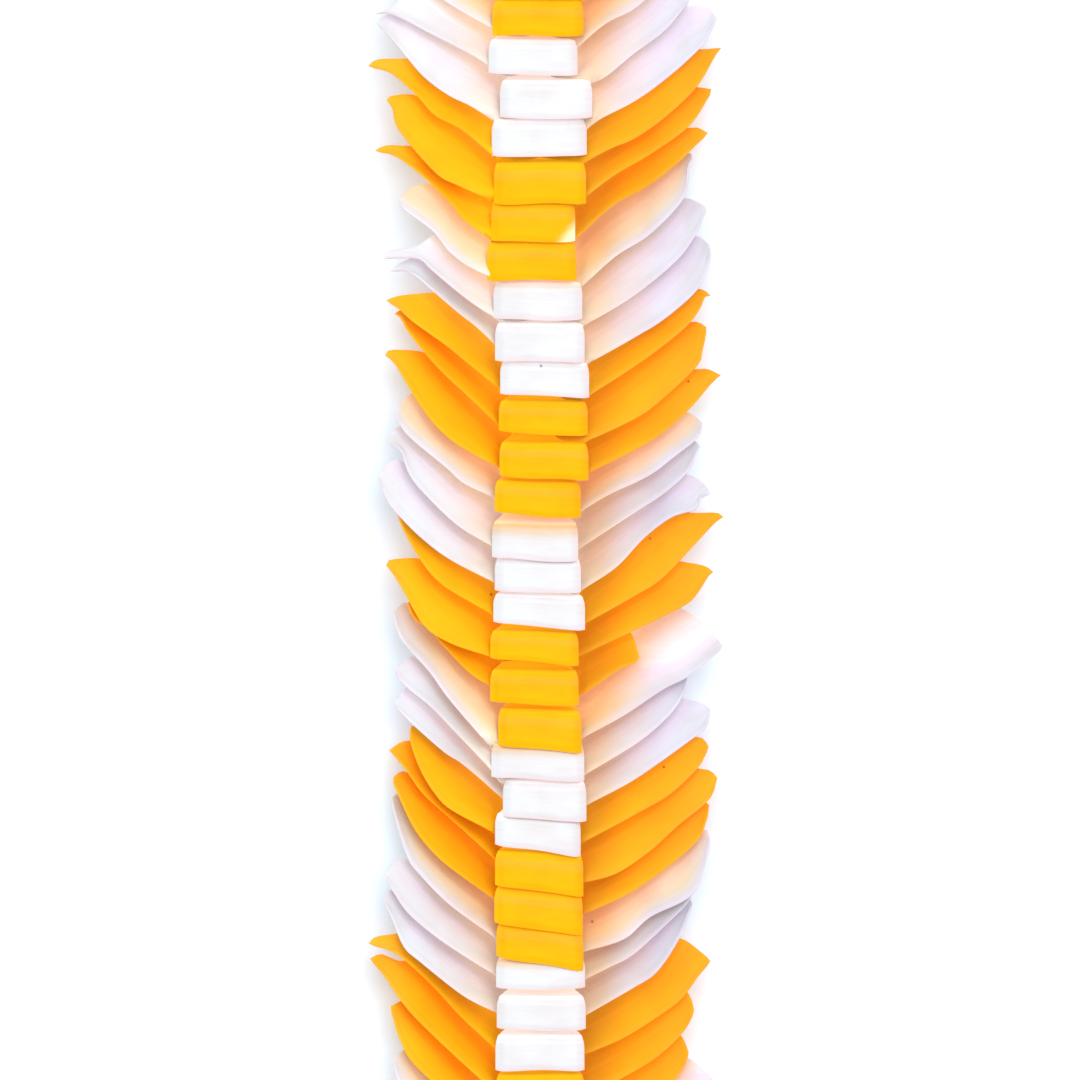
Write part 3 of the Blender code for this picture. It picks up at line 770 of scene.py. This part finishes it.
def plied_thread(name, path):
    """A twisted thread along a path, in millimetres: its section has a lobe for each ply."""
    tangent = np.gradient(path, axis=0)
    tangent /= np.linalg.norm(tangent, axis=1)[:, None]
    side = np.cross(tangent, (0.0, 0.0, 1.0))
    upright = np.linalg.norm(side, axis=1) < NEARLY_UPRIGHT
    side[upright] = (1.0, 0.0, 0.0)
    side /= np.linalg.norm(side, axis=1)[:, None]
    rise = np.cross(side, tangent)
    steps = np.linalg.norm(np.diff(path, axis=0), axis=1)
    length = np.concatenate(([0.0], np.cumsum(steps)))
    angle = np.linspace(0.0, 2 * math.pi, THREAD_SIDES, endpoint=False)[None, :]
    twist = 2 * math.pi * length[:, None] / THREAD_TWIST
    ply = np.cos(THREAD_PLIES * (angle - twist))
    reach = THREAD_RADIUS * (1 - PLY_DEPTH + PLY_DEPTH * ply)
    ring = reach[..., None] * (
        np.cos(angle)[..., None] * side[:, None, :] + np.sin(angle)[..., None] * rise[:, None, :]
    )
    points = (path[:, None, :] + ring).reshape(-1, 3) * MM
    index = np.arange(len(path) * THREAD_SIDES).reshape(len(path), THREAD_SIDES)
    around = np.roll(index, -1, axis=1)
    quads = np.stack((index[:-1], around[:-1], around[1:], index[1:]), axis=2).reshape(-1, 4)
    caps = [index[0][::-1].tolist(), index[-1].tolist()]
    mesh = bpy.data.meshes.new(name)
    mesh.from_pydata(points.tolist(), [], quads.tolist() + caps)
    mesh.shade_smooth()
    mesh.update()
    return mesh


def build_thread(route, material, collection):
    """The twisted thread round the loop, its overhand knot and the knot's two tucked tails."""
    along = np.linspace(0.0, LOOP_LENGTH, round(LOOP_LENGTH / THREAD_STEP) + 1)
    straight = np.stack((np.zeros_like(along), along, np.full_like(along, THREAD_HEIGHT)), axis=1)
    path = bend_along(route, straight, 0.0)
    turn = np.linspace(0.0, 2 * math.pi, KNOT_STEPS)
    knot = np.stack(
        (
            KNOT_SIZE * (np.sin(turn) + 2 * np.sin(2 * turn)),
            KNOT_SIZE * (np.cos(turn) - 2 * np.cos(2 * turn)),
            THREAD_HEIGHT - KNOT_HEIGHT * np.sin(3 * turn),
        ),
        axis=1,
    )
    pieces = [("thread_strand", path), ("thread_knot", bend_along(route, knot, 0.0))]
    for name, side in (("thread_tail_outer", -1), ("thread_tail_inner", 1)):
        tail = smooth_line(np.array(TAIL_ROUTE) * (side, 1, 1), TAIL_STEPS)
        pieces.append((name, bend_along(route, tail, 0.0)))
    for name, line in pieces:
        mesh = plied_thread(name, line)
        mesh.materials.append(material)
        piece = new_piece(name, mesh, collection)
        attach(piece, "root")
        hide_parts("thread")


def new_material(name):
    """An empty node material with its shader, ready to be linked."""
    material = bpy.data.materials.new(name)
    material.use_nodes = True
    material.cycles.emission_sampling = "NONE"
    return material, material.node_tree, material.node_tree.nodes["Principled BSDF"]


def ramp_node(tree, source, stops):
    """A colour ramp over a value, from (position, colour) stops."""
    node = tree.nodes.new("ShaderNodeValToRGB")
    ramp = node.color_ramp
    ramp.interpolation = "EASE"
    while len(ramp.elements) < len(stops):
        ramp.elements.new(0.5)
    for element, (position, colour) in zip(ramp.elements, stops):
        element.position = position
        element.color = (*colour, 1.0)
    tree.links.new(source, node.inputs["Fac"])
    return node.outputs["Color"]


def mix_node(tree, blend, factor, first, second):
    """A colour mix whose factor and colours are each a socket or a constant."""
    node = tree.nodes.new("ShaderNodeMix")
    node.data_type = "RGBA"
    node.blend_type = blend
    for socket, value in ((node.inputs[0], factor), (node.inputs[6], first), (node.inputs[7], second)):
        if isinstance(value, bpy.types.NodeSocket):
            tree.links.new(value, socket)
        else:
            socket.default_value = value if isinstance(value, float) else (*value, 1.0)
    return node.outputs[2]


def noise_node(tree, vector, scale, detail):
    """Noise from 0 to 1 over a vector."""
    node = tree.nodes.new("ShaderNodeTexNoise")
    node.inputs["Scale"].default_value = scale
    node.inputs["Detail"].default_value = detail
    tree.links.new(vector, node.inputs["Vector"])
    return node.outputs["Fac"]


def bump_node(tree, height, strength, distance):
    """Fine relief from a height, as a normal."""
    bump = tree.nodes.new("ShaderNodeBump")
    bump.inputs["Strength"].default_value = strength
    bump.inputs["Distance"].default_value = distance
    tree.links.new(height, bump.inputs["Height"])
    return bump.outputs["Normal"]


def vein_node(tree, uv, scale):
    """Noise stretched along a petal's own coordinates."""
    stretch = tree.nodes.new("ShaderNodeMapping")
    stretch.inputs["Scale"].default_value = scale
    tree.links.new(uv, stretch.inputs["Vector"])
    return noise_node(tree, stretch.outputs["Vector"], 1.0, VEIN_DETAIL)


def bounce_and_undyed_node(tree, how, colour, bounce_and_undyed_colour):
    """A colour mixed with the other one as far as each point's share goes: painted bounce on white
    petals, own colour in the orange tab's undyed corner.
    """
    share_of_other = tree.nodes.new("ShaderNodeAttribute")
    share_of_other.attribute_name = "bounce_and_undyed"
    return mix_node(tree, how, share_of_other.outputs["Fac"], colour, bounce_and_undyed_colour)


def speck_node(tree, place):
    """A dark factor at each speck, seen from above, and 1 elsewhere."""
    flat = tree.nodes.new("ShaderNodeVectorMath")
    flat.operation = "MULTIPLY"
    flat.inputs[1].default_value = (1.0, 1.0, 0.0)
    tree.links.new(place, flat.inputs[0])
    nearest = None
    for x, y in SPECKS:
        distance = tree.nodes.new("ShaderNodeVectorMath")
        distance.operation = "DISTANCE"
        distance.inputs[1].default_value = (x * MM, y * MM, 0.0)
        tree.links.new(flat.outputs["Vector"], distance.inputs[0])
        if nearest is None:
            nearest = distance.outputs["Value"]
            continue
        least = tree.nodes.new("ShaderNodeMath")
        least.operation = "MINIMUM"
        tree.links.new(nearest, least.inputs[0])
        tree.links.new(distance.outputs["Value"], least.inputs[1])
        nearest = least.outputs["Value"]
    fade = tree.nodes.new("ShaderNodeMapRange")
    fade.inputs["From Min"].default_value = SPECK_CORE * SPECK_SIZE * MM
    fade.inputs["From Max"].default_value = SPECK_SIZE * MM
    fade.inputs["To Min"].default_value = SPECK_LEVEL
    tree.links.new(nearest, fade.inputs["Value"])
    return fade.outputs["Result"]


def petal_material(name, colour_and_painted_shade_by_reach, painted_light_and_shade_by_depth, bounce_and_undyed, painted_glow_reach, painted_glow_depth, sheen, vein_scale):
    """Waxy petal, with fine veins: its colour and painted shade change along its length, and painted
    light and shade change from the rim inwards.

    Thin petals let light through, so where they cover each other they get a painted glow, as emission,
    that stands in for this light and lifts their shade.
    """
    material, tree, shader = new_material(name)
    links = tree.links
    uv = tree.nodes.new("ShaderNodeUVMap")
    uv.uv_map = "petal"
    split = tree.nodes.new("ShaderNodeSeparateXYZ")
    links.new(uv.outputs["UV"], split.inputs["Vector"])
    place = tree.nodes.new("ShaderNodeTexCoord").outputs["Object"]
    cloud = noise_node(tree, place, MOTTLE_SCALE, MOTTLE_DETAIL)
    cells = noise_node(tree, place, CELL_SCALE, CELL_DETAIL)
    veins = vein_node(tree, uv.outputs["UV"], vein_scale)

    # Colour with painted shade along the petal, times painted light and shade from the rim inwards:
    # paler rim lines, covered parts lifted against their shade, and a painted highlight band on tabs
    colour = ramp_node(tree, split.outputs["X"], colour_and_painted_shade_by_reach)
    for source, stops in ((split.outputs["Y"], painted_light_and_shade_by_depth), (cloud, MOTTLE), (veins, VEIN_TINT)):
        colour = mix_node(tree, "MULTIPLY", 1.0, colour, ramp_node(tree, source, stops))
    # Painted bounce of orange light on covered white petals; the own colour of the undyed corner on the
    # orange tab
    how, bounce_and_undyed_colour = bounce_and_undyed
    colour = bounce_and_undyed_node(tree, how, colour, bounce_and_undyed_colour)
    colour = mix_node(tree, "MULTIPLY", 1.0, colour, speck_node(tree, place))
    links.new(colour, shader.inputs["Base Color"])

    # Painted glow: emission along the petal times emission from the rim inwards, which lifts covered,
    # shaded parts
    near_thread = ramp_node(tree, split.outputs["X"], painted_glow_reach)
    covered = ramp_node(tree, split.outputs["Y"], painted_glow_depth)
    links.new(mix_node(tree, "MULTIPLY", 1.0, near_thread, covered), shader.inputs["Emission Color"])
    shader.inputs["Emission Strength"].default_value = 1.0

    relief = mix_node(tree, "MIX", CELL_SHARE, veins, cells)
    links.new(bump_node(tree, relief, *PETAL_RELIEF), shader.inputs["Normal"])
    shader.inputs["Roughness"].default_value = PETAL_ROUGHNESS
    shader.inputs["Specular IOR Level"].default_value = PETAL_GLOSS
    shader.inputs["Specular Tint"].default_value = (*sheen, 1.0)
    return material


def thread_material():
    """Undyed cotton, with fuzz-fine relief."""
    material, tree, shader = new_material("cotton_thread_fibres")
    place = tree.nodes.new("ShaderNodeTexCoord").outputs["Object"]
    fibres = noise_node(tree, place, FIBRE_SCALE, FIBRE_DETAIL)
    tree.links.new(ramp_node(tree, fibres, FIBRE_COLOURS), shader.inputs["Base Color"])
    tree.links.new(bump_node(tree, fibres, *FIBRE_RELIEF), shader.inputs["Normal"])
    shader.inputs["Roughness"].default_value = FIBRE_ROUGHNESS
    return material


def floor_material():
    """Matt, pale and a little cool."""
    material, _, shader = new_material("pale_floor")
    shader.inputs["Base Color"].default_value = (*FLOOR_COLOUR, 1.0)
    shader.inputs["Roughness"].default_value = FLOOR_ROUGHNESS
    shader.inputs["Specular IOR Level"].default_value = FLOOR_GLOSS
    return material


def wing_stops(colours):
    """Ramp stops along a petal from its outer tip over the thread to its inner tip."""
    return tuple(zip(WING_PLACES, colours))


def level_stops(levels):
    """Ramp stops along a petal for plain levels."""
    return wing_stops([(level, level, level) for level in levels])


def painted_glow_stops(colour):
    """Painted glow, as emission, of a colour from the rim inwards."""
    return tuple((place, tuple(share * value for value in colour)) for place, share in PAINTED_GLOW_DEPTH)


def orange_materials():
    """Wing and tab of the dyed petals."""
    wing = petal_material(
        "orange_wing",
        # Colour with painted shade: darker near the thread and on the inner side
        colour_and_painted_shade_by_reach=wing_stops(
            (
                (1.0, 0.46, 0.03),
                (1.0, 0.47, 0.012),
                (1.0, 0.475, 0.01),
                (0.97, 0.5, 0.01),
                (0.9, 0.45, 0.014),
                (0.82, 0.4, 0.022),
                (0.95, 0.445, 0.018),
                (1.0, 0.4, 0.018),
                (1.0, 0.39, 0.022),
            )
        ),
        # Painted light and shade from the rim inwards: a pale rim line, and covered parts lifted
        # against their shade
        painted_light_and_shade_by_depth=(
            (0.0, (0.9, 0.83, 1.0)),
            (0.06, (0.9, 0.87, 0.75)),
            (0.12, (0.9, 0.85, 0.65)),
            (0.21, (0.95, 0.855, 0.8)),
            (0.29, (1.0, 0.92, 0.95)),
            (0.39, (1.0, 0.98, 1.0)),
        ),
        # Own colour of the undyed corner
        bounce_and_undyed=("MIX", (0.95, 0.86, 0.6)),
        painted_glow_reach=level_stops(PAINTED_GLOW_REACH),
        painted_glow_depth=painted_glow_stops((0.3, 0.15, 0.003)),
        sheen=(1.0, 0.6, 0.08),
        vein_scale=WING_VEINS,
    )
    tab = petal_material(
        "orange_tab",
        # Colour across the tab, with its sides painted lighter against their shade
        colour_and_painted_shade_by_reach=(
            (0.0, (1.0, 0.53, 0.02)),
            (0.08, (0.9, 0.45, 0.02)),
            (0.9, (0.9, 0.44, 0.02)),
            (1.0, (0.96, 0.43, 0.03)),
        ),
        # Painted light and shade from the free edge inwards, with a painted highlight band about a
        # third of the way in
        painted_light_and_shade_by_depth=(
            (0.0, (1.0, 0.84, 0.3)),
            (0.06, (0.9, 0.815, 0.1)),
            (0.22, (0.86, 0.78, 0.2)),
            (0.3, (0.86, 0.79, 1.0)),
            (0.37, (0.9, 0.88, 0.3)),
            (0.42, (1.0, 1.0, 0.3)),
        ),
        bounce_and_undyed=("MIX", (0.93, 0.8, 0.5)),
        painted_glow_reach=((0.0, WHITE), (1.0, WHITE)),
        # painted glow where the tab's fold lies in the shade of the previous tab
        painted_glow_depth=((0.36, BLACK), (0.42, (0.13, 0.11, 0.004)), (0.48, (0.42, 0.18, 0.005))),
        sheen=(1.0, 0.7, 0.08),
        vein_scale=TAB_VEINS,
    )
    return wing, tab


def white_materials():
    """Wing and tab of the undyed petals."""
    wing = petal_material(
        "white_wing",
        # Colour with painted shade: warmer and darker near the thread, and darker on the inner side
        colour_and_painted_shade_by_reach=wing_stops(
            (
                (0.8, 0.76, 0.8),
                (0.8, 0.77, 0.83),
                (0.84, 0.775, 0.8),
                (0.95, 0.815, 0.73),
                (0.94, 0.75, 0.62),
                (0.92, 0.67, 0.47),
                (0.85, 0.745, 0.77),
                (0.75, 0.7, 0.8),
                (0.72, 0.68, 0.76),
            )
        ),
        # Painted light and shade from the rim inwards: covered parts lifted against their shade
        painted_light_and_shade_by_depth=(
            (0.0, (0.78, 0.785, 0.82)),
            (0.06, (0.76, 0.82, 0.82)),
            (0.12, (0.79, 0.83, 0.83)),
            (0.21, (0.86, 0.86, 0.9)),
            (0.29, (0.93, 0.9, 0.97)),
            (0.39, WHITE),
        ),
        # Painted bounce of orange light where an orange petal covers
        bounce_and_undyed=("MULTIPLY", (1.08, 0.94, 0.6)),
        painted_glow_reach=level_stops(PAINTED_GLOW_REACH),
        painted_glow_depth=painted_glow_stops((0.21, 0.16, 0.125)),
        sheen=WHITE,
        vein_scale=WING_VEINS,
    )
    tab = petal_material(
        "white_tab",
        # Colour across the tab, with its sides painted lighter against their shade
        colour_and_painted_shade_by_reach=(
            (0.0, WHITE),
            (0.08, (0.93, 0.94, 0.97)),
            (0.9, (0.92, 0.92, 0.95)),
            (1.0, (1.0, 0.9, 0.92)),
        ),
        # Painted light and shade from the free edge inwards: a pink painted shadow line at the edge,
        # the lit face painted darker, and the fold under the previous tab lifted against its shade
        painted_light_and_shade_by_depth=(
            (0.0, (0.74, 0.62, 0.63)),
            (0.06, (0.63, 0.64, 0.66)),
            (0.3, (0.63, 0.64, 0.65)),
            (0.37, (0.7, 0.7, 0.71)),
            (0.42, (0.95, 0.93, 0.92)),
        ),
        # Painted bounce of orange light where an orange petal covers
        bounce_and_undyed=("MULTIPLY", (1.0, 0.62, 0.22)),
        painted_glow_reach=((0.0, WHITE), (1.0, WHITE)),
        # painted glow where the tab's fold lies in the shade of the previous tab
        painted_glow_depth=((0.38, BLACK), (0.425, (0.28, 0.28, 0.32)), (0.475, (0.4, 0.26, 0.17))),
        sheen=WHITE,
        vein_scale=TAB_VEINS,
    )
    return wing, tab


def build_floor(collection):
    """A plain square floor under the lei."""
    mesh = bpy.data.meshes.new("floor")
    corners = [(x * FLOOR_HALF, y * FLOOR_HALF, 0.0) for x, y in ((-1, -1), (1, -1), (1, 1), (-1, 1))]
    mesh.from_pydata(corners, [], [(0, 1, 2, 3)])
    mesh.materials.append(floor_material())
    floor = new_piece("floor", mesh, collection)


def add_light(name, place, target, size, power, colour, collection):
    """A soft square lamp that faces a target."""
    lamp = bpy.data.lights.new(name, "AREA")
    lamp.size = size
    lamp.energy = power
    lamp.color = colour
    light = bpy.data.objects.new(name, lamp)
    light.location = place
    facing = Vector(target) - Vector(place)
    light.rotation_euler = facing.to_track_quat("-Z", "Y").to_euler()
    collection.objects.link(light)


def build_studio(collection):
    """An even bright room with a large soft lamp."""
    scene = bpy.context.scene
    world = bpy.data.worlds.new("white_room")
    world.use_nodes = True
    background = world.node_tree.nodes["Background"]
    background.inputs["Color"].default_value = (*WHITE, 1.0)
    background.inputs["Strength"].default_value = ROOM_LIGHT
    scene.world = world
    scene.view_settings.view_transform = "Standard"
    add_light("key", KEY_PLACE, (*VIEW_CENTRE, 0.0), KEY_SIZE, KEY_POWER, WHITE, collection)


def build_camera(collection):
    """Straight down on one side of the loop, from far off."""
    data = bpy.data.cameras.new("camera")
    data.sensor_width = SENSOR_WIDTH
    data.lens = SENSOR_WIDTH * VIEW_DISTANCE / VIEW_WIDTH
    data.clip_end = VIEW_END
    camera = bpy.data.objects.new("camera", data)
    camera.location = (*VIEW_CENTRE, VIEW_DISTANCE + VIEW_PLANE)
    collection.objects.link(camera)
    bpy.context.scene.camera = camera


def main():
    """Builds the camera, the studio, the petals and the thread."""
    lei = bpy.data.collections.new("orchid_lei")
    studio = bpy.data.collections.new("studio")
    for collection in (lei, studio):
        bpy.context.scene.collection.children.link(collection)
    build_camera(studio)
    build_studio(studio)
    build_floor(studio)
    route = walk_route()
    materials = {"orange": orange_materials(), "white": white_materials()}
    rng = random.Random(SEED)
    petals = []
    for number in range(RUNS * PETALS_PER_RUN):
        chosen = choose_petal(rng, number)
        petals.append((chosen, rng.uniform(-TAB_TURN_SPREAD, TAB_TURN_SPREAD)))
    shapes = random.Random(SEED + 1)
    for index in range(RUNS):
        build_run(index, petals, shapes, route, materials, lei)
    build_thread(route, thread_material(), lei)


main()
